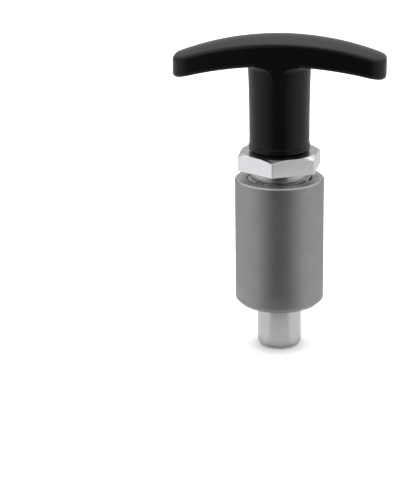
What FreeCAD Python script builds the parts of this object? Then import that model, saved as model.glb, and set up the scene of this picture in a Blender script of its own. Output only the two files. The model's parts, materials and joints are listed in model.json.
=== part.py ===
"""Indexing plunger with a T-grip, a threaded guide body and a weld-in sleeve.

Millimetres, +Z up. The origin is the centre of the pin's tip, which is what the plunger stands on.
The pin is pushed out by its stroke, with the grip's foot on the hexagon. The grip's bar lies along X.
"""
import FreeCAD, Part
import os
from math import cos, pi, radians, sin, sqrt, tan

# Plunger pin: tip, collar, rod and threaded spigot
pin_radius = 7.0
stroke = 14.5
tip_chamfer = 1.2
pin_shoulder = 0.25
collar_radius = 8.5
collar_height = 2.2
collar_edge = 0.3
rod_radius = 5.8
flats_across = 10.0
flats_height = 14.0
spigot_radius = 4.0
spigot_length = 12.0
spigot_chamfer = 0.6

# Weld sleeve
sleeve_wall = 4.0
sleeve_length = 41.0
sleeve_bottom_chamfer = 1.5
sleeve_top_chamfer = 0.4
floor_thickness = 3.0
guide_hole_chamfer = 0.4
relief_width = 2.6
relief_depth = 0.25
mouth_chamfer = 0.35

# Thread between the guide body and the sleeve, as a plain fit at its outer diameter
thread_radius = 10.0
thread_depth = 1.5
thread_engagement = 11.8
thread_spare = 2.2

# Guide body
hex_inset = 2.0
hex_height = 5.4
hex_standoff = 3.2
hex_face_inset = 0.1
hex_chamfer_angle = 30.0
hex_corner_rounding = 0.35
hex_turn = -4.5
body_neck_width = 1.4
body_end_chamfer = 2.0
bore_chamfer = 0.4

# Compression spring
wire_radius = 0.625
wire_sides = 8
spring_active_turns = 4
spring_closed_turns = 1

# T-grip: stem and bar
grip_height = 36.3
stem_wall = 2.78
stem_flare = 0.34
stem_straight = 9.0
stem_lip = 0.18
stem_lip_height = 1.6
stem_foot_chamfer = 0.8
stem_blend = 2.0
bar_length = 65.4
bar_width = 19.2
bar_thickness = 8.15
bar_top_arc = 89.0
bar_underside_arc = 109.0
bar_crown_arc = 34.0
bar_side_arc = 250.0
bar_corner = 6.0
bar_top_rounding = 1.5
bar_underside_rounding = 1.2

# Threaded insert moulded into the stem
insert_wall = 2.6
insert_floor = 2.5
insert_teeth = 20
insert_tooth_depth = 0.5
insert_groove = 3.0

# Named clearances
pin_clearance = 0.05
rod_clearance = 0.05
collar_clearance = 0.25
floor_gap = 0.3
shoulder_gap = 0.5
thread_clearance = 0.05
spigot_clearance = 0.05
spigot_room = 1.5
spring_clearance = 0.65

# Radii that follow from one another, from the axis outwards
guide_radius = pin_radius + pin_shoulder
guide_hole_radius = guide_radius + pin_clearance
rod_bore = rod_radius + rod_clearance
spring_mean_radius = rod_radius + spring_clearance + wire_radius
insert_radius = spigot_radius + insert_wall
stem_radius = insert_radius + stem_wall
stem_top_radius = stem_radius + stem_flare
chamber_radius = collar_radius + collar_clearance
thread_root = thread_radius - thread_depth
thread_bore = thread_radius + thread_clearance
mouth_radius = thread_bore + mouth_chamfer
sleeve_radius = thread_radius + sleeve_wall
hex_across_flats = 2 * (sleeve_radius - hex_inset)
hex_face_radius = hex_across_flats / 2 - hex_face_inset

# Levels along the axis, from the pin's tip upwards
sleeve_bottom = stroke
shoulder_level = sleeve_bottom - shoulder_gap
floor_top = sleeve_bottom + floor_thickness
collar_bottom = floor_top + floor_gap
collar_taper = collar_radius - guide_radius
collar_top = collar_bottom + collar_taper + collar_height
sleeve_top = sleeve_bottom + sleeve_length
body_bottom = sleeve_top - thread_engagement
thread_bottom = body_bottom - thread_spare
hex_bottom = sleeve_top + hex_standoff
hex_top = hex_bottom + hex_height
stem_foot = hex_top
spigot_top = stem_foot + spigot_length
hole_top = spigot_top + spigot_room
insert_top = hole_top + insert_floor
bar_crest = hex_top + grip_height
bar_underside = bar_crest - bar_thickness
far = 200.0


def vec(x, y, z):
    return FreeCAD.Vector(x, y, z)


def turned(points):
    """Solid turned about Z from the corners (radius, height) of half its section."""
    corners = [vec(r, 0, z) for r, z in points]
    section = Part.Face(Part.makePolygon(corners + corners[:1]))
    return section.revolve(vec(0, 0, 0), vec(0, 0, 1), 360)


def cylinder(radius, bottom, top):
    return Part.makeCylinder(radius, top - bottom, vec(0, 0, bottom))


def ground_cone(radius, level, depth, upward):
    """Conical cutter that widens a hole's mouth by its depth at 45 degrees."""
    inner = radius - depth
    if upward:
        return turned([(0, level - 2 * depth), (inner, level - 2 * depth), (radius + depth, level), (0, level)])
    return turned([(0, level), (radius + depth, level), (inner, level + 2 * depth), (0, level + 2 * depth)])


def plunger_pin():
    """One turned piece: tip, wider guided part, collar, rod with two flats, threaded spigot."""
    tip_face = pin_radius - tip_chamfer
    pin = turned([
        (0, 0),
        (tip_face, 0),
        (pin_radius, tip_chamfer),
        (pin_radius, shoulder_level - pin_shoulder),
        (guide_radius, shoulder_level),
        (guide_radius, collar_bottom),
        (collar_radius, collar_bottom + collar_taper),
        (collar_radius, collar_top - collar_edge),
        (collar_radius - collar_edge, collar_top),
        (rod_radius, collar_top),
        (rod_radius, stem_foot),
        (spigot_radius, stem_foot),
        (spigot_radius, spigot_top - spigot_chamfer),
        (spigot_radius - spigot_chamfer, spigot_top),
        (0, spigot_top),
    ])
    for side in (0, 180):
        flat = Part.makeBox(rod_radius, 2 * rod_radius, flats_height)
        flat.translate(vec(flats_across / 2, -rod_radius, collar_top))
        flat.rotate(vec(0, 0, 0), vec(0, 0, 1), side)
        pin = pin.cut(flat)
    return pin


def weld_sleeve():
    """Plain tube to weld in, with a floor for the pin and an internal thread at its mouth."""
    tube = turned([
        (0, sleeve_bottom),
        (sleeve_radius - sleeve_bottom_chamfer, sleeve_bottom),
        (sleeve_radius, sleeve_bottom + sleeve_bottom_chamfer),
        (sleeve_radius, sleeve_top - sleeve_top_chamfer),
        (sleeve_radius - sleeve_top_chamfer, sleeve_top),
        (0, sleeve_top),
    ])
    guide_hole = cylinder(guide_hole_radius, sleeve_bottom - 1, floor_top + 1)
    chamber = cylinder(chamber_radius, floor_top, thread_bottom + 1)
    relief = cylinder(thread_bore + relief_depth, thread_bottom - relief_width, thread_bottom)
    thread_hole = cylinder(thread_bore, thread_bottom - 1, sleeve_top + 1)
    mouth = ground_cone(thread_bore, sleeve_top, mouth_chamfer, True)
    lead_in = ground_cone(guide_hole_radius, sleeve_bottom, guide_hole_chamfer, False)
    for cutter in (guide_hole, chamber, relief, thread_hole, mouth, lead_in):
        tube = tube.cut(cutter)
    return tube


def hexagon():
    """Hexagon head with a 30 degree chamfer on top and lightly rounded corners."""
    corner = hex_across_flats / sqrt(3)
    angles = [radians(-90 + hex_turn + 60 * k) for k in range(7)]
    outline = Part.makePolygon([vec(corner * cos(a), corner * sin(a), hex_bottom) for a in angles])
    head = Part.Face(outline).extrude(vec(0, 0, hex_height))
    upright = [e for e in head.Edges if e.BoundBox.ZLength > hex_height / 2]
    head = head.makeFillet(hex_corner_rounding, upright)
    reach = corner + 1
    drop = (reach - hex_face_radius) * tan(radians(hex_chamfer_angle))
    envelope = turned([
        (0, hex_bottom),
        (reach, hex_bottom),
        (reach, hex_top - drop),
        (hex_face_radius, hex_top),
        (0, hex_top),
    ])
    return head.common(envelope)


def guide_body():
    """Hexagon head, undercut and threaded shank, bored through for the rod."""
    neck_bottom = hex_bottom - body_neck_width
    blank = turned([
        (0, body_bottom),
        (thread_radius - body_end_chamfer, body_bottom),
        (thread_radius, body_bottom + body_end_chamfer),
        (thread_radius, neck_bottom - thread_depth / 2),
        (thread_root, neck_bottom),
        (thread_root, hex_bottom),
        (0, hex_bottom),
    ])
    body = blank.fuse(hexagon())
    body = body.cut(cylinder(rod_bore, body_bottom - 1, hex_top + 1))
    body = body.cut(ground_cone(rod_bore, hex_top, bore_chamfer, True))
    return body.cut(ground_cone(rod_bore, body_bottom, bore_chamfer, False))


def compression_spring():
    """Right-hand spring with a closed and ground coil at each end, at its fitted length."""
    wire = 2 * wire_radius
    length = body_bottom - collar_top
    closed = spring_closed_turns * wire
    active = length - 2 * closed
    stages = [
        (wire, collar_top, closed),
        (active / spring_active_turns, collar_top + closed, active),
        (wire, collar_top + closed + active, closed),
    ]
    path = []
    for pitch, bottom, height in stages:
        helix = Part.makeHelix(pitch, height, spring_mean_radius)
        helix.translate(vec(0, 0, bottom))
        path += helix.Edges
    angles = [2 * pi * (k + 0.5) / wire_sides for k in range(wire_sides)]
    rim = [vec(spring_mean_radius + wire_radius * cos(a), 0, collar_top + wire_radius * sin(a)) for a in angles]
    section = Part.makePolygon(rim + rim[:1])
    spring = Part.Wire(path).makePipeShell([section], True, True)
    return spring.common(cylinder(far, collar_top, body_bottom))


def insert_outline(radius, bottom, top):
    """Toothed band of the insert's knurl."""
    points = []
    for k in range(2 * insert_teeth + 1):
        r = radius if k % 2 == 0 else radius - insert_tooth_depth
        a = pi * k / insert_teeth
        points.append(vec(r * cos(a), r * sin(a), bottom))
    points[-1] = points[0]
    return Part.Face(Part.makePolygon(points)).extrude(vec(0, 0, top - bottom))


def insert_blank():
    """Knurled bush with a plain groove at the middle that keeps it in the moulding."""
    middle = (stem_foot + insert_top) / 2
    groove_radius = insert_radius - 2 * insert_tooth_depth
    core = cylinder(groove_radius, stem_foot, insert_top)
    lower = insert_outline(insert_radius, stem_foot, middle - insert_groove / 2)
    upper = insert_outline(insert_radius, middle + insert_groove / 2, insert_top)
    return core.fuse([lower, upper])


def grip_insert():
    """Threaded bush that the rod's spigot screws into."""
    hole = cylinder(spigot_radius + spigot_clearance, stem_foot - 1, hole_top)
    return insert_blank().cut(hole)


def bar_outline():
    """Plan of the bar: bowed long sides, short ends and rounded corners, as a tall prism."""
    half = bar_length / 2
    centre_y = bar_width / 2
    end_y = centre_y - half ** 2 / (2 * bar_side_arc)
    front = Part.Arc(vec(-half, -end_y, 0), vec(0, -centre_y, 0), vec(half, -end_y, 0)).toShape()
    back = Part.Arc(vec(half, end_y, 0), vec(0, centre_y, 0), vec(-half, end_y, 0)).toShape()
    right = Part.makeLine(vec(half, -end_y, 0), vec(half, end_y, 0))
    left = Part.makeLine(vec(-half, end_y, 0), vec(-half, -end_y, 0))
    prism = Part.Face(Part.Wire([front, right, back, left])).extrude(vec(0, 0, bar_crest + 1))
    upright = [e for e in prism.Edges if e.BoundBox.ZLength > bar_crest / 2]
    return prism.makeFillet(bar_corner, upright)


def bar_arch():
    """Arched bar: its crowned top is turned about a Y axis, and its underside is a plain arc."""
    axis_height = bar_crest - bar_top_arc
    crown_centre = bar_crest - bar_crown_arc
    reach = bar_width
    foot = bar_underside - bar_thickness
    edge_height = crown_centre + sqrt(bar_crown_arc ** 2 - reach ** 2)
    crown = Part.Arc(vec(0, -reach, edge_height), vec(0, 0, bar_crest), vec(0, reach, edge_height)).toShape()
    sides = Part.makePolygon([
        vec(0, reach, edge_height),
        vec(0, reach, foot),
        vec(0, -reach, foot),
        vec(0, -reach, edge_height),
    ])
    section = Part.Face(Part.Wire([crown] + sides.Edges))
    span = 60
    section.rotate(vec(0, 0, axis_height), vec(0, 1, 0), -span / 2)
    arch = section.revolve(vec(0, 0, axis_height), vec(0, 1, 0), span)
    below = bar_underside - bar_underside_arc
    hollow = Part.makeCylinder(bar_underside_arc, 4 * reach, vec(0, -2 * reach, below), vec(0, 1, 0))
    return arch.cut(hollow)


def stem():
    """Round stem: foot with a small lip, slightly hollow flank and a blend into the bar."""
    straight_top = stem_foot + stem_straight
    blend_bottom = bar_underside - stem_blend
    inside = bar_underside + stem_blend
    lip_top = stem_foot + stem_foot_chamfer + stem_lip_height
    middle = (straight_top + blend_bottom) / 2
    sag = (stem_top_radius - stem_radius) / 4
    lip_radius = stem_radius + stem_lip
    blend_radius = stem_top_radius + stem_blend
    bend = stem_blend * (1 - cos(radians(45)))
    lower = Part.makePolygon([
        vec(0, 0, inside),
        vec(0, 0, stem_foot),
        vec(lip_radius - stem_foot_chamfer, 0, stem_foot),
        vec(lip_radius, 0, stem_foot + stem_foot_chamfer),
        vec(lip_radius, 0, lip_top - stem_lip),
        vec(stem_radius, 0, lip_top),
        vec(stem_radius, 0, straight_top),
    ])
    flank = Part.Arc(
        vec(stem_radius, 0, straight_top),
        vec(stem_radius + sag, 0, middle),
        vec(stem_top_radius, 0, blend_bottom),
    ).toShape()
    blend = Part.Arc(
        vec(stem_top_radius, 0, blend_bottom),
        vec(stem_top_radius + bend, 0, bar_underside - bend),
        vec(blend_radius, 0, bar_underside),
    ).toShape()
    top = Part.makePolygon([vec(blend_radius, 0, bar_underside), vec(blend_radius, 0, inside), vec(0, 0, inside)])
    section = Part.Face(Part.Wire(lower.Edges + [flank, blend] + top.Edges))
    return section.revolve(vec(0, 0, 0), vec(0, 0, 1), 360)


def middle(edge):
    return edge.valueAt((edge.FirstParameter + edge.LastParameter) / 2)


def on_crown(point):
    """True where a point lies on the bar's crowned top."""
    axis_height = bar_crest - bar_top_arc
    distance = sqrt(point.x ** 2 + (point.z - axis_height) ** 2)
    expected = bar_top_arc - bar_crown_arc + sqrt(bar_crown_arc ** 2 - point.y ** 2)
    return abs(distance - expected) < 0.01


def on_underside_rim(point):
    """True where a point lies on the arched underside of the bar."""
    axis_height = bar_underside - bar_underside_arc
    distance = sqrt(point.x ** 2 + (point.z - axis_height) ** 2)
    return abs(distance - bar_underside_arc) < 0.01


def t_grip():
    """Moulded T-grip: arched bar and stem in one piece, around its insert."""
    plan = bar_outline()
    bar = bar_arch().common(plan)
    bar = bar.makeFillet(bar_top_rounding, [e for e in bar.Edges if on_crown(middle(e))])
    bar = bar.makeFillet(bar_underside_rounding, [e for e in bar.Edges if on_underside_rim(middle(e))])
    grip = bar.fuse(stem().common(plan)).removeSplitter()
    return grip.cut(insert_blank())


def export(shape, node):
    solid = shape.Solids[0] if len(shape.Solids) == 1 else shape
    print(node, solid.ShapeType, "valid", solid.isValid(), "volume", round(solid.Volume, 1))
    solid.exportStep("parts/" + node + ".step")


os.makedirs("parts", exist_ok=True)
export(weld_sleeve(), "weld_sleeve")
export(guide_body(), "guide_body")
export(compression_spring(), "compression_spring")
export(plunger_pin(), "plunger_pin")
export(grip_insert(), "grip_insert")
export(t_grip(), "t_grip")
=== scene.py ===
"""Indexing plunger with a T-grip, a guide body and a weld-in sleeve, on a plain pale floor."""
import bpy
import json
from math import atan2, cos, hypot, pi, radians, sin, tan
from mathutils import Euler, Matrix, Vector


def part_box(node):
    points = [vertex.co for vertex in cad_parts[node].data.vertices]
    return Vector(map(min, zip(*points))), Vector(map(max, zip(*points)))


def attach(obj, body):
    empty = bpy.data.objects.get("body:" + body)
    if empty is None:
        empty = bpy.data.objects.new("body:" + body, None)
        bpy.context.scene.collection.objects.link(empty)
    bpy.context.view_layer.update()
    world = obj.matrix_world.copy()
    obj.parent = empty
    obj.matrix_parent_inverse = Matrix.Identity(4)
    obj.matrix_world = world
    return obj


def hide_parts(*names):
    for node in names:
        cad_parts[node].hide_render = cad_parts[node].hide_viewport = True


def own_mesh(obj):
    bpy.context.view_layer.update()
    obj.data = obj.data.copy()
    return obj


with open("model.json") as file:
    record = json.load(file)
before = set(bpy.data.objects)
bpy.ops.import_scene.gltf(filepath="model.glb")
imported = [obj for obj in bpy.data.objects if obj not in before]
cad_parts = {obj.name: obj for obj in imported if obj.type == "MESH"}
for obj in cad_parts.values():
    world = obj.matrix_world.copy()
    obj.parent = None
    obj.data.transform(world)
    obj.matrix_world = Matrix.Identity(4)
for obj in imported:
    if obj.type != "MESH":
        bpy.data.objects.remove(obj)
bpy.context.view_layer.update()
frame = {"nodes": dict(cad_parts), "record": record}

MM = 0.001

# Boxes that the frame gives
SLEEVE_LOW, SLEEVE_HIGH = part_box("weld_sleeve")
BODY_LOW, BODY_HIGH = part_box("guide_body")
PIN_LOW, PIN_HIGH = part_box("plunger_pin")
SPRING_LOW, SPRING_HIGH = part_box("compression_spring")

# Guide body: hexagon, neck, threaded shank and bore
HEX_FLAT_RADIUS = 12 * MM
HEX_FACE_RADIUS = 11.9 * MM
HEX_HEIGHT = 5.4 * MM
HEX_BOTTOM = BODY_HIGH.z - HEX_HEIGHT
HEX_CHAMFER = radians(30)
HEX_CORNER_RADIUS = 0.15 * MM
HEX_TURN = radians(-94.5)
NECK_RADIUS = 9.35 * MM
NECK_WIDTH = 2.6 * MM
THREAD_RADIUS = 10 * MM
THREAD_PITCH = 2.5 * MM
THREAD_DEPTH = 1.5 * MM
THREAD_ROOT_SHARE = 0.1
THREAD_FLANK_SHARE = 0.72
THREAD_RUN_OUT_SLOPE = 2
SHANK_CHAMFER = 2 * MM
BORE_RADIUS = 5.85 * MM
BORE_CHAMFER = 0.4 * MM

# Weld sleeve
SLEEVE_HOLE_RADIUS = 7.3 * MM
SLEEVE_HOLE_CHAMFER = 0.4 * MM
SLEEVE_CHAMBER_RADIUS = 8.75 * MM
SLEEVE_FLOOR = 3 * MM
SLEEVE_THREAD_RADIUS = 10.05 * MM
SLEEVE_THREAD_LENGTH = 14 * MM
SLEEVE_THREAD_CHAMFER = 0.35 * MM
SLEEVE_FOOT_CHAMFER = 1.5 * MM
SLEEVE_TOP_CHAMFER = 0.5 * MM

# Compression spring
WIRE_RADIUS = 0.625 * MM
COIL_RADIUS = 7.075 * MM
CLOSED_TURNS = 1
ACTIVE_TURNS = 4
ALL_TURNS = 2 * CLOSED_TURNS + ACTIVE_TURNS
STEPS_PER_TURN = 56
WIRE_SIDES = 14

# Plunger pin: tip, guided part, collar, rod with flats and spigot
TIP_RADIUS = 7 * MM
TIP_CHAMFER = 1.2 * MM
SHOULDER_DROP = 0.5 * MM
GUIDED_RADIUS = 7.25 * MM
COLLAR_RADIUS = 8.5 * MM
COLLAR_RISE = 3.3 * MM
COLLAR_CONE = 1.25 * MM
COLLAR_CHAMFER = 0.3 * MM
ROD_RADIUS = 5.8 * MM
FLATS_HEIGHT = 14 * MM
FLATS_HALF_WIDTH = 5 * MM
SPIGOT_RADIUS = 4 * MM
SPIGOT_CHAMFER = 0.6 * MM


# Mesh helpers

def arc_corner(before, corner, after, radius, steps=4):
    """Points of the round in place of a corner between two runs. It takes less than half of either run."""
    back = Vector(before) - Vector(corner)
    ahead = Vector(after) - Vector(corner)
    turn = back.angle(ahead)
    longest = 0.49 * min(back.length, ahead.length)
    reach = min(radius / tan(turn / 2), longest)
    radius = reach * tan(turn / 2)
    back.normalize()
    ahead.normalize()
    centre = Vector(corner) + (back + ahead).normalized() * (radius / sin(turn / 2))
    start = Vector(corner) + back * reach - centre
    end = Vector(corner) + ahead * reach - centre
    sweep = pi - turn
    points = []
    for k in range(steps + 1):
        t = k / steps
        points.append(tuple(centre + (start * sin((1 - t) * sweep) + end * sin(t * sweep)) / sin(sweep)))
    return points


def softened(points, closed=True):
    """Profile with its corners rounded by their third number. A corner without one stays sharp."""
    count = len(points)
    result = []
    for k, point in enumerate(points):
        radius = point[2] if len(point) > 2 else 0
        if radius <= 0 or (not closed and k in (0, count - 1)):
            result.append(point[:2])
            continue
        before, after = points[k - 1][:2], points[(k + 1) % count][:2]
        result += arc_corner(before, point[:2], after, radius)
    return result


def mesh_piece(name, points, faces, smooth_angle=30):
    """Object with smooth faces and sharp edges where faces meet at more than the angle in degrees."""
    mesh = bpy.data.meshes.new(name)
    mesh.from_pydata(points, [], faces)
    mesh.validate()
    mesh.shade_smooth()
    mesh.set_sharp_from_angle(angle=radians(smooth_angle))
    piece = bpy.data.objects.new(name, mesh)
    bpy.context.scene.collection.objects.link(piece)
    return piece


def grid_piece(name, columns, closed_profile=True):
    """Closed ring of columns of points, joined side by side."""
    count, height = len(columns), len(columns[0])
    points = [point for column in columns for point in column]
    faces = []
    rows = height if closed_profile else height - 1
    for j in range(count):
        following = (j + 1) % count
        for i in range(rows):
            up = (i + 1) % height
            faces.append((j * height + i, following * height + i, following * height + up, j * height + up))
    return mesh_piece(name, points, faces)


def around(profile, angle):
    """Points of a (radius, height) profile at an angle about the axis."""
    return [(r * cos(angle), r * sin(angle), z) for r, z in profile]


def lathe(name, profile, segments):
    """Solid of revolution with a closed profile."""
    return grid_piece(name, [around(profile, 2 * pi * k / segments) for k in range(segments)])


# Node helpers

def new_material(name, color, metallic, roughness, specular=0.5):
    material = bpy.data.materials.new(name)
    material.use_nodes = True
    shader = material.node_tree.nodes["Principled BSDF"]
    shader.inputs["Base Color"].default_value = (*color, 1)
    shader.inputs["Metallic"].default_value = metallic
    shader.inputs["Roughness"].default_value = roughness
    shader.inputs["Specular IOR Level"].default_value = specular
    return material, material.node_tree, shader


def object_noise(tree, scale, detail):
    """Noise in the frame's own metres, with a scale for each axis."""
    place = tree.nodes.new("ShaderNodeTexCoord")
    mapping = tree.nodes.new("ShaderNodeMapping")
    mapping.inputs["Scale"].default_value = scale
    noise = tree.nodes.new("ShaderNodeTexNoise")
    noise.inputs["Scale"].default_value = 1.0
    noise.inputs["Detail"].default_value = detail
    tree.links.new(place.outputs["Object"], mapping.inputs["Vector"])
    tree.links.new(mapping.outputs["Vector"], noise.inputs["Vector"])
    return noise.outputs["Fac"]


def add_bump(tree, shader, source, strength, distance):
    bump = tree.nodes.new("ShaderNodeBump")
    bump.inputs["Strength"].default_value = strength
    bump.inputs["Distance"].default_value = distance
    tree.links.new(source, bump.inputs["Height"])
    tree.links.new(bump.outputs["Normal"], shader.inputs["Normal"])


def vary_roughness(tree, shader, noise, low, high):
    """Roughness from low to high over the middle range of a noise."""
    middle_start, middle_end = 0.3, 0.7
    spread = tree.nodes.new("ShaderNodeMapRange")
    spread.inputs["From Min"].default_value = middle_start
    spread.inputs["From Max"].default_value = middle_end
    spread.inputs["To Min"].default_value = low
    spread.inputs["To Max"].default_value = high
    tree.links.new(noise, spread.inputs["Value"])
    tree.links.new(spread.outputs["Result"], shader.inputs["Roughness"])


def smooth_range(tree, source, start, end, low, high):
    """Smooth step from low to high while the source runs from start to end."""
    step = tree.nodes.new("ShaderNodeMapRange")
    step.interpolation_type = "SMOOTHSTEP"
    step.inputs["From Min"].default_value = start
    step.inputs["From Max"].default_value = end
    step.inputs["To Min"].default_value = low
    step.inputs["To Max"].default_value = high
    tree.links.new(source, step.inputs["Value"])
    return step.outputs["Result"]


def by_height(tree, start, end, low, high):
    """Smooth step from low to high between two heights in the frame."""
    place = tree.nodes.new("ShaderNodeTexCoord")
    split = tree.nodes.new("ShaderNodeSeparateXYZ")
    tree.links.new(place.outputs["Object"], split.inputs["Vector"])
    return smooth_range(tree, split.outputs["Z"], start, end, low, high)


def scale_color(tree, shader, color, share):
    """Base colour times a share that varies over the surface."""
    scaled = tree.nodes.new("ShaderNodeVectorMath")
    scaled.operation = "SCALE"
    scaled.inputs["Vector"].default_value = color
    tree.links.new(share, scaled.inputs["Scale"])
    tree.links.new(scaled.outputs["Vector"], shader.inputs["Base Color"])


def combine(tree, operation, *sources):
    """Result of a math operation on its sources, each a socket or a number."""
    node = tree.nodes.new("ShaderNodeMath")
    node.operation = operation
    for socket, source in zip(node.inputs, sources):
        if isinstance(source, (int, float)):
            socket.default_value = source
        else:
            tree.links.new(source, socket)
    return node.outputs["Value"]


# Materials

def black_plastic():
    """Moulded plastic with a fine satin grain."""
    color = (0.0015, 0.0015, 0.0016)
    material, tree, shader = new_material("black_plastic", color, metallic=0, roughness=0.27, specular=0.2)
    grain = object_noise(tree, (2600, 2600, 2600), detail=2)
    add_bump(tree, shader, grain, strength=0.25, distance=0.02 * MM)
    return material


def turned_steel(name, color, roughness, marks, spread):
    """Turned steel: fine rings round the axis as bump, and a gloss that varies in soft blotches."""
    material, tree, shader = new_material(name, color, metallic=1, roughness=roughness)
    rings = object_noise(tree, (20, 20, 9000), detail=3)
    add_bump(tree, shader, rings, strength=marks, distance=0.01 * MM)
    blotches = object_noise(tree, (180, 180, 240), detail=4)
    vary_roughness(tree, shader, blotches, roughness - spread, roughness + spread)
    return material, tree, shader


def zinc_plate():
    """Bright zinc plating, with painted shade: its colour is dimmer on the neck and shank under the
    hexagon.
    """
    color = (0.72, 0.73, 0.75)
    painted_shade_share = 0.6
    fade_start = HEX_BOTTOM - 0.1 * MM
    material, tree, shader = new_material("zinc_plated_steel", color, metallic=1, roughness=0.2)
    cloud = object_noise(tree, (300, 300, 300), detail=4)
    vary_roughness(tree, shader, cloud, 0.15, 0.25)
    # Painted shade: the base colour drops to a share of itself below the hexagon's underside.
    scale_color(tree, shader, color, by_height(tree, fade_start, HEX_BOTTOM, painted_shade_share, 1))
    return material


def plain_steel():
    """Dark turned steel, with a painted sheen that brightens its top end."""
    color = (0.295, 0.292, 0.284)
    painted_sheen_share = 1.65
    fade_start, fade_end = SLEEVE_HIGH.z - 0.5 * MM, SLEEVE_HIGH.z - 0.05 * MM
    material, tree, shader = turned_steel("plain_steel", color, roughness=0.46, marks=0.3, spread=0.05)
    # Painted highlight: the base colour is brighter over the top chamfer and end face.
    scale_color(tree, shader, color, by_height(tree, fade_start, fade_end, 1, painted_sheen_share))
    return material


def satin_steel():
    return turned_steel("satin_steel", (0.5, 0.505, 0.505), roughness=0.26, marks=0.1, spread=0.02)[0]


def plain_metal(name, color, roughness):
    return new_material(name, color, metallic=1, roughness=roughness)[0]


MATERIALS = {
    "black_plastic": black_plastic(),
    "plain_steel": plain_steel(),
    "satin_steel": satin_steel(),
    "zinc_plated_steel": zinc_plate(),
    "spring_wire": plain_metal("spring_wire", (0.55, 0.56, 0.58), 0.25),
    "insert_brass": plain_metal("insert_brass", (0.72, 0.52, 0.25), 0.3),
}


def dress(piece, slot):
    piece.data.materials.clear()
    piece.data.materials.append(MATERIALS[slot])


for part in frame["record"]["subparts"]:
    dress(frame["nodes"][part["node"]], part["material_slot"])


# Guide body: hexagon head, plain neck and threaded shank in one ring of columns

def hex_outline(flat_radius, rounding, turn, flat_steps, corner_steps):
    """(angle, radius) pairs round a hexagon with rounded corners. Turn is a corner's own angle."""
    pairs = []
    corner_angle = pi / 3
    centre = (flat_radius - rounding) / cos(corner_angle / 2)
    half_flat = (flat_radius - rounding) * tan(corner_angle / 2)
    for k in range(6):
        heading = turn + k * corner_angle
        centre_x, centre_y = centre * cos(heading), centre * sin(heading)
        for i in range(corner_steps + 1):
            angle = heading - corner_angle / 2 + corner_angle * i / corner_steps
            x, y = centre_x + rounding * cos(angle), centre_y + rounding * sin(angle)
            pairs.append((atan2(y, x), hypot(x, y)))
        normal = heading + corner_angle / 2
        for i in range(1, flat_steps):
            along = -half_flat + 2 * half_flat * i / flat_steps
            x = flat_radius * cos(normal) - along * sin(normal)
            y = flat_radius * sin(normal) + along * cos(normal)
            pairs.append((atan2(y, x), hypot(x, y)))
    return pairs


def thread_height(phase):
    """Share of the thread's depth at a phase from 0 to 1: flat root, straight flanks and flat crest."""
    slope = abs(2 * phase - 1)
    return min(1.0, max(0.0, (slope - THREAD_ROOT_SHARE) / THREAD_FLANK_SHARE))


def shank_radius(angle, z):
    """The threaded shank's radius, cut down at its end and turned plain in a neck under the hexagon."""
    below_neck = HEX_BOTTOM - NECK_WIDTH - z
    if below_neck < 0:
        return NECK_RADIUS
    phase = ((z - BODY_LOW.z) / THREAD_PITCH - angle / (2 * pi)) % 1.0
    thread = THREAD_RADIUS - THREAD_DEPTH + THREAD_DEPTH * thread_height(phase)
    end = THREAD_RADIUS - SHANK_CHAMFER + (z - BODY_LOW.z)
    return min(thread, NECK_RADIUS + below_neck * THREAD_RUN_OUT_SLOPE, end)


def guide_body():
    steps = 170
    shank = [BODY_LOW.z + (HEX_BOTTOM - BODY_LOW.z) * i / steps for i in range(steps + 1)]
    columns = []
    outline = hex_outline(HEX_FLAT_RADIUS, HEX_CORNER_RADIUS, HEX_TURN, flat_steps=30, corner_steps=5)
    for angle, radius in outline:
        column = [(BORE_RADIUS, BODY_LOW.z + BORE_CHAMFER), (BORE_RADIUS + BORE_CHAMFER, BODY_LOW.z)]
        column += [(shank_radius(angle, z), z) for z in shank]
        chamfer_bottom = BODY_HIGH.z - (radius - HEX_FACE_RADIUS) * tan(HEX_CHAMFER)
        column += softened([
            (NECK_RADIUS, HEX_BOTTOM),
            (radius, HEX_BOTTOM, 0.2 * MM),
            (radius, chamfer_bottom, 0.25 * MM),
            (HEX_FACE_RADIUS, BODY_HIGH.z, 0.15 * MM),
            (BORE_RADIUS + BORE_CHAMFER, BODY_HIGH.z),
            (BORE_RADIUS, BODY_HIGH.z - BORE_CHAMFER),
        ], closed=False)
        columns.append(around(column, angle))
    piece = grid_piece("guide_body_threaded", columns)
    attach(piece, "housing")
    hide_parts("guide_body")
    dress(piece, "zinc_plated_steel")


guide_body()


# Weld sleeve with softly broken edges

def weld_sleeve():
    outer = SLEEVE_HIGH.x
    bottom, top = SLEEVE_LOW.z, SLEEVE_HIGH.z
    thread_bottom = top - SLEEVE_THREAD_LENGTH
    profile = [
        (SLEEVE_HOLE_RADIUS, bottom + SLEEVE_HOLE_CHAMFER),
        (SLEEVE_HOLE_RADIUS + SLEEVE_HOLE_CHAMFER, bottom),
        (outer - SLEEVE_FOOT_CHAMFER, bottom, 0.25 * MM),
        (outer, bottom + SLEEVE_FOOT_CHAMFER, 0.35 * MM),
        (outer, top - SLEEVE_TOP_CHAMFER, 0.3 * MM),
        (outer - SLEEVE_TOP_CHAMFER, top, 0.15 * MM),
        (SLEEVE_THREAD_RADIUS + SLEEVE_THREAD_CHAMFER, top, 0.08 * MM),
        (SLEEVE_THREAD_RADIUS, top - SLEEVE_THREAD_CHAMFER),
        (SLEEVE_THREAD_RADIUS, thread_bottom),
        (SLEEVE_CHAMBER_RADIUS, thread_bottom),
        (SLEEVE_CHAMBER_RADIUS, bottom + SLEEVE_FLOOR),
        (SLEEVE_HOLE_RADIUS, bottom + SLEEVE_FLOOR),
    ]
    piece = lathe("weld_sleeve_turned", softened(profile), segments=240)
    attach(piece, "housing")
    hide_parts("weld_sleeve")
    dress(piece, "plain_steel")


weld_sleeve()


# Compression spring of round wire, with closed and ground ends

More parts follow.
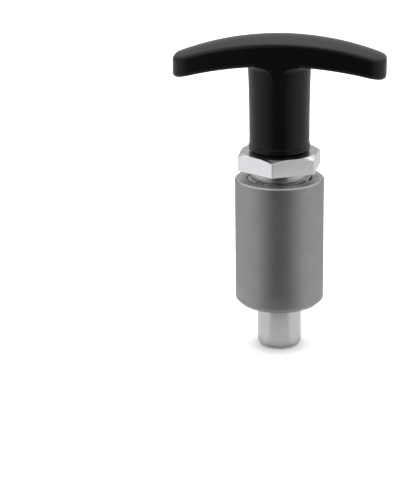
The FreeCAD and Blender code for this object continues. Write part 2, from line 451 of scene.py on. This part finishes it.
def wire_height(turn):
    """Height of the wire's centre after some turns: closed, then working, then closed again."""
    closed_height = 2 * WIRE_RADIUS * CLOSED_TURNS
    active_height = SPRING_HIGH.z - SPRING_LOW.z - 2 * closed_height
    if turn < CLOSED_TURNS:
        return SPRING_LOW.z + closed_height * turn / CLOSED_TURNS
    if turn < CLOSED_TURNS + ACTIVE_TURNS:
        return SPRING_LOW.z + closed_height + active_height * (turn - CLOSED_TURNS) / ACTIVE_TURNS
    return SPRING_HIGH.z - closed_height * (ALL_TURNS - turn) / CLOSED_TURNS


def wire_ring(turn):
    """Points round the wire, ground flat where it would pass either end of the spring."""
    angle = 2 * pi * turn
    ring = []
    for i in range(WIRE_SIDES):
        side = 2 * pi * i / WIRE_SIDES
        r = COIL_RADIUS + WIRE_RADIUS * cos(side)
        z = wire_height(turn) + WIRE_RADIUS * sin(side)
        ring.append((r * cos(angle), r * sin(angle), min(SPRING_HIGH.z, max(SPRING_LOW.z, z))))
    return ring


def compression_spring():
    rings = [wire_ring(k / STEPS_PER_TURN) for k in range(ALL_TURNS * STEPS_PER_TURN + 1)]
    points = [point for ring in rings for point in ring]
    faces = []
    for j in range(len(rings) - 1):
        here, following = j * WIRE_SIDES, (j + 1) * WIRE_SIDES
        for i in range(WIRE_SIDES):
            up = (i + 1) % WIRE_SIDES
            faces.append((here + i, following + i, following + up, here + up))
    last = (len(rings) - 1) * WIRE_SIDES
    faces.append(tuple(range(WIRE_SIDES)))
    faces.append(tuple(last + i for i in reversed(range(WIRE_SIDES))))
    piece = mesh_piece("compression_spring_wire", points, faces)
    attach(piece, "spring_carrier")
    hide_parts("compression_spring")
    dress(piece, "spring_wire")
    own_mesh(piece)


compression_spring()


# Plunger pin with softly broken edges and two flats on its rod

def cut_flats(points, half_width):
    return [(min(half_width, max(-half_width, x)), y, z) for x, y, z in points]


def plunger_pin():
    tip, collar_top, foot, top = PIN_LOW.z, SPRING_LOW.z, BODY_HIGH.z, PIN_HIGH.z
    shoulder = SLEEVE_LOW.z - SHOULDER_DROP
    collar_bottom = SLEEVE_LOW.z + COLLAR_RISE
    flats_top = collar_top + FLATS_HEIGHT
    lower = softened([
        (0, tip),
        (TIP_RADIUS - TIP_CHAMFER, tip, 0.2 * MM),
        (TIP_RADIUS, tip + TIP_CHAMFER, 0.3 * MM),
        (TIP_RADIUS, shoulder - (GUIDED_RADIUS - TIP_RADIUS)),
        (GUIDED_RADIUS, shoulder),
        (GUIDED_RADIUS, collar_bottom),
        (COLLAR_RADIUS, collar_bottom + COLLAR_CONE),
        (COLLAR_RADIUS, collar_top - COLLAR_CHAMFER),
        (COLLAR_RADIUS - COLLAR_CHAMFER, collar_top),
    ], closed=False)
    flatted = [(ROD_RADIUS, collar_top), (ROD_RADIUS, flats_top)]
    upper = [
        (ROD_RADIUS, flats_top),
        (ROD_RADIUS, foot),
        (SPIGOT_RADIUS, foot),
        (SPIGOT_RADIUS, top - SPIGOT_CHAMFER),
        (SPIGOT_RADIUS - SPIGOT_CHAMFER, top),
        (0, top),
    ]
    segments = 192
    columns = []
    for k in range(segments):
        angle = 2 * pi * k / segments
        rod = cut_flats(around(flatted, angle), FLATS_HALF_WIDTH)
        columns.append(around(lower, angle) + rod + around(upper, angle))
    piece = grid_piece("plunger_pin_turned", columns, closed_profile=False)
    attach(piece, "plunger")
    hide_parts("plunger_pin")
    dress(piece, "satin_steel")


plunger_pin()


# Floor, and a glowing card that metal reflects in its place: a painted reflection of the floor

FLOOR_SIZE = 8
FLOOR_COLOR = (0.7, 0.7, 0.7)
ROOM_TURN = radians(5)
CARD_RADIUS = 56 * MM
CARD_LIFT = 0.02 * MM
# Cosines of the angle from the front between which the card turns grey
CARD_SIDE, CARD_FRONT = 0.6, 0.8
CARD_NEAR_LEVEL, CARD_FAR_LEVEL = 0.78, 0.09
# Painted shadow of the pin's foot in the card's glow: the radii over which it fades, and its level
CARD_FOOT_SHADOW = (6.5 * MM, 13 * MM)
CARD_FOOT_SHADOW_LEVEL = 0.5


def floor():
    """Plain pale floor. Metal reflects the studio in its place, and a glowing card that lies round the pin
    as a painted reflection.
    """
    bpy.ops.mesh.primitive_plane_add(size=FLOOR_SIZE, location=(0, 0, 0))
    ground = bpy.context.object
    ground.name = "floor"
    ground.visible_glossy = False
    material = new_material("floor", FLOOR_COLOR, metallic=0, roughness=0.9, specular=0.1)[0]
    ground.data.materials.append(material)


def card_level(tree):
    """Bright at the sides and behind, grey in front, and darker far out in front, with a painted shadow at
    the pin's foot.
    """
    place = tree.nodes.new("ShaderNodeTexCoord")
    reach = tree.nodes.new("ShaderNodeVectorMath")
    reach.operation = "LENGTH"
    heading = tree.nodes.new("ShaderNodeVectorMath")
    heading.operation = "NORMALIZE"
    towards = tree.nodes.new("ShaderNodeVectorMath")
    towards.operation = "DOT_PRODUCT"
    towards.inputs[1].default_value = (sin(ROOM_TURN), -cos(ROOM_TURN), 0)
    tree.links.new(place.outputs["Object"], reach.inputs[0])
    tree.links.new(place.outputs["Object"], heading.inputs[0])
    tree.links.new(heading.outputs["Vector"], towards.inputs[0])
    distance = reach.outputs["Value"]
    front = smooth_range(tree, towards.outputs["Value"], CARD_SIDE, CARD_FRONT, 0, 1)
    near_loss, far_loss = 1 - CARD_NEAR_LEVEL, 1 - CARD_FAR_LEVEL
    loss = smooth_range(tree, distance, CARD_RADIUS / 2, CARD_RADIUS, near_loss, far_loss)
    # Painted shadow: the glow dims near the pin's foot.
    foot = smooth_range(tree, distance, *CARD_FOOT_SHADOW, CARD_FOOT_SHADOW_LEVEL, 1)
    level = combine(tree, "SUBTRACT", 1, combine(tree, "MULTIPLY", front, loss))
    return combine(tree, "MULTIPLY", level, foot)


def reflected_card():
    """Glowing card round the pin that only reflections show: a painted reflection of the floor."""
    bpy.ops.mesh.primitive_circle_add(
        radius=CARD_RADIUS, vertices=96, fill_type="NGON", location=(0, 0, CARD_LIFT))
    card = bpy.context.object
    card.name = "reflected_card"
    card.visible_camera = False
    card.visible_diffuse = False
    card.visible_shadow = False
    material = bpy.data.materials.new("reflected_card")
    material.use_nodes = True
    tree = material.node_tree
    tree.nodes.clear()
    glow = tree.nodes.new("ShaderNodeEmission")
    output = tree.nodes.new("ShaderNodeOutputMaterial")
    tree.links.new(card_level(tree), glow.inputs["Strength"])
    tree.links.new(glow.outputs["Emission"], output.inputs["Surface"])
    card.data.materials.append(material)


# Light: one large softbox overhead, and a room whose level depends on the direction

SOFTBOX_PLACE, SOFTBOX_TARGET = Vector((0, 0.4, 2.2)), Vector((0, 0, 0.05))
SOFTBOX_SIZE = 4
SOFTBOX_POWER = 170

# Stops of (share of the way from front to back, level)
WALL_STOPS = [
    (0, 0.085),
    (0.04, 0.1),
    (0.142, 0.61),
    (0.27, 0.9),
    (0.38, 1.0),
    (0.7, 0.97),
    (0.95, 0.75),
]

# Ranges of a direction's side, depth or height, each from -1 to 1
BAND_DEPTH, BAND_HEIGHT = (0.2, 0.7), (-0.05, 0.14)
BAND_LEVEL = 0.63
CEILING_HEIGHT = (0.3, 0.8)
CEILING_SIDE, CEILING_BACK = (0.1, 0.5), (-0.75, 0.15)
CEILING_BACK_SHARE = 0.75
CEILING_LEVELS = (0.15, 1.6)


def top_softbox():
    data = bpy.data.lights.new("top_softbox", "AREA")
    data.shape = "RECTANGLE"
    data.size = data.size_y = SOFTBOX_SIZE
    data.energy = SOFTBOX_POWER
    lamp = bpy.data.objects.new("top_softbox", data)
    bpy.context.scene.collection.objects.link(lamp)
    lamp.location = SOFTBOX_PLACE
    lamp.rotation_euler = (SOFTBOX_TARGET - SOFTBOX_PLACE).to_track_quat("-Z", "Y").to_euler()
    lamp.visible_glossy = False


def room_direction(tree):
    """Side, depth and height of a direction in the room, which is turned towards the camera."""
    place = tree.nodes.new("ShaderNodeTexCoord")
    turned = tree.nodes.new("ShaderNodeVectorRotate")
    turned.rotation_type = "Z_AXIS"
    turned.inputs["Angle"].default_value = -ROOM_TURN
    split = tree.nodes.new("ShaderNodeSeparateXYZ")
    tree.links.new(place.outputs["Generated"], turned.inputs["Vector"])
    tree.links.new(turned.outputs["Vector"], split.inputs["Vector"])
    return split.outputs["X"], split.outputs["Y"], split.outputs["Z"]


def wall_level(tree, depth, height):
    """Dark in front, bright at the sides and behind, with a dimmer band above the horizon at the back."""
    ramp = tree.nodes.new("ShaderNodeValToRGB")
    ramp.color_ramp.interpolation = "EASE"
    ready = len(ramp.color_ramp.elements)
    for k, (position, level) in enumerate(WALL_STOPS):
        stop = ramp.color_ramp.elements[k] if k < ready else ramp.color_ramp.elements.new(position)
        stop.position = position
        stop.color = (level, level, level, 1)
    spread = tree.nodes.new("ShaderNodeMapRange")
    spread.inputs["From Min"].default_value = -1
    spread.inputs["From Max"].default_value = 1
    tree.links.new(depth, spread.inputs["Value"])
    tree.links.new(spread.outputs["Result"], ramp.inputs["Fac"])
    behind = smooth_range(tree, depth, *BAND_DEPTH, 0, 1)
    above = smooth_range(tree, height, *BAND_HEIGHT, 0, 1)
    band = smooth_range(tree, combine(tree, "MULTIPLY", behind, above), 0, 1, 1, BAND_LEVEL)
    return combine(tree, "MULTIPLY", ramp.outputs["Color"], band)


def ceiling_level(tree, side, depth):
    """Dim over the front, bright at both sides and over the back."""
    beside = smooth_range(tree, combine(tree, "ABSOLUTE", side), *CEILING_SIDE, 0, 1)
    over_back = smooth_range(tree, depth, *CEILING_BACK, 0, CEILING_BACK_SHARE)
    return smooth_range(tree, combine(tree, "MAXIMUM", beside, over_back), 0, 1, *CEILING_LEVELS)


def studio_world():
    """Soft studio room: walls that give way to the ceiling as a direction rises."""
    world = bpy.data.worlds.new("studio")
    bpy.context.scene.world = world
    world.use_nodes = True
    tree = world.node_tree
    side, depth, height = room_direction(tree)
    mix = tree.nodes.new("ShaderNodeMix")
    tree.links.new(smooth_range(tree, height, *CEILING_HEIGHT, 0, 1), mix.inputs["Factor"])
    tree.links.new(wall_level(tree, depth, height), mix.inputs["A"])
    tree.links.new(ceiling_level(tree, side, depth), mix.inputs["B"])
    tree.links.new(mix.outputs["Result"], tree.nodes["Background"].inputs["Color"])


# Camera, as found from the photo's ellipses and edges

CAMERA_PLACE = (0.0433, -0.4869, 0.19755)
CAMERA_DIP = radians(18.768)
CAMERA_HEADING = radians(8.041)
CAMERA_ROLL = radians(-0.94)
LENS, SENSOR_WIDTH = 116.8, 36
CLIP_START, CLIP_END = 0.01, 20


def camera():
    data = bpy.data.cameras.new("camera")
    data.lens = LENS
    data.sensor_width = SENSOR_WIDTH
    data.clip_start, data.clip_end = CLIP_START, CLIP_END
    eye = bpy.data.objects.new("camera", data)
    bpy.context.scene.collection.objects.link(eye)
    eye.location = CAMERA_PLACE
    turn = Euler((pi / 2 - CAMERA_DIP, 0, CAMERA_HEADING)).to_matrix()
    roll = Euler((0, 0, CAMERA_ROLL)).to_matrix()
    eye.rotation_euler = (turn @ roll).to_euler()
    bpy.context.scene.camera = eye


floor()
reflected_card()
studio_world()
top_softbox()
camera()
bpy.context.scene.view_settings.view_transform = "Standard"
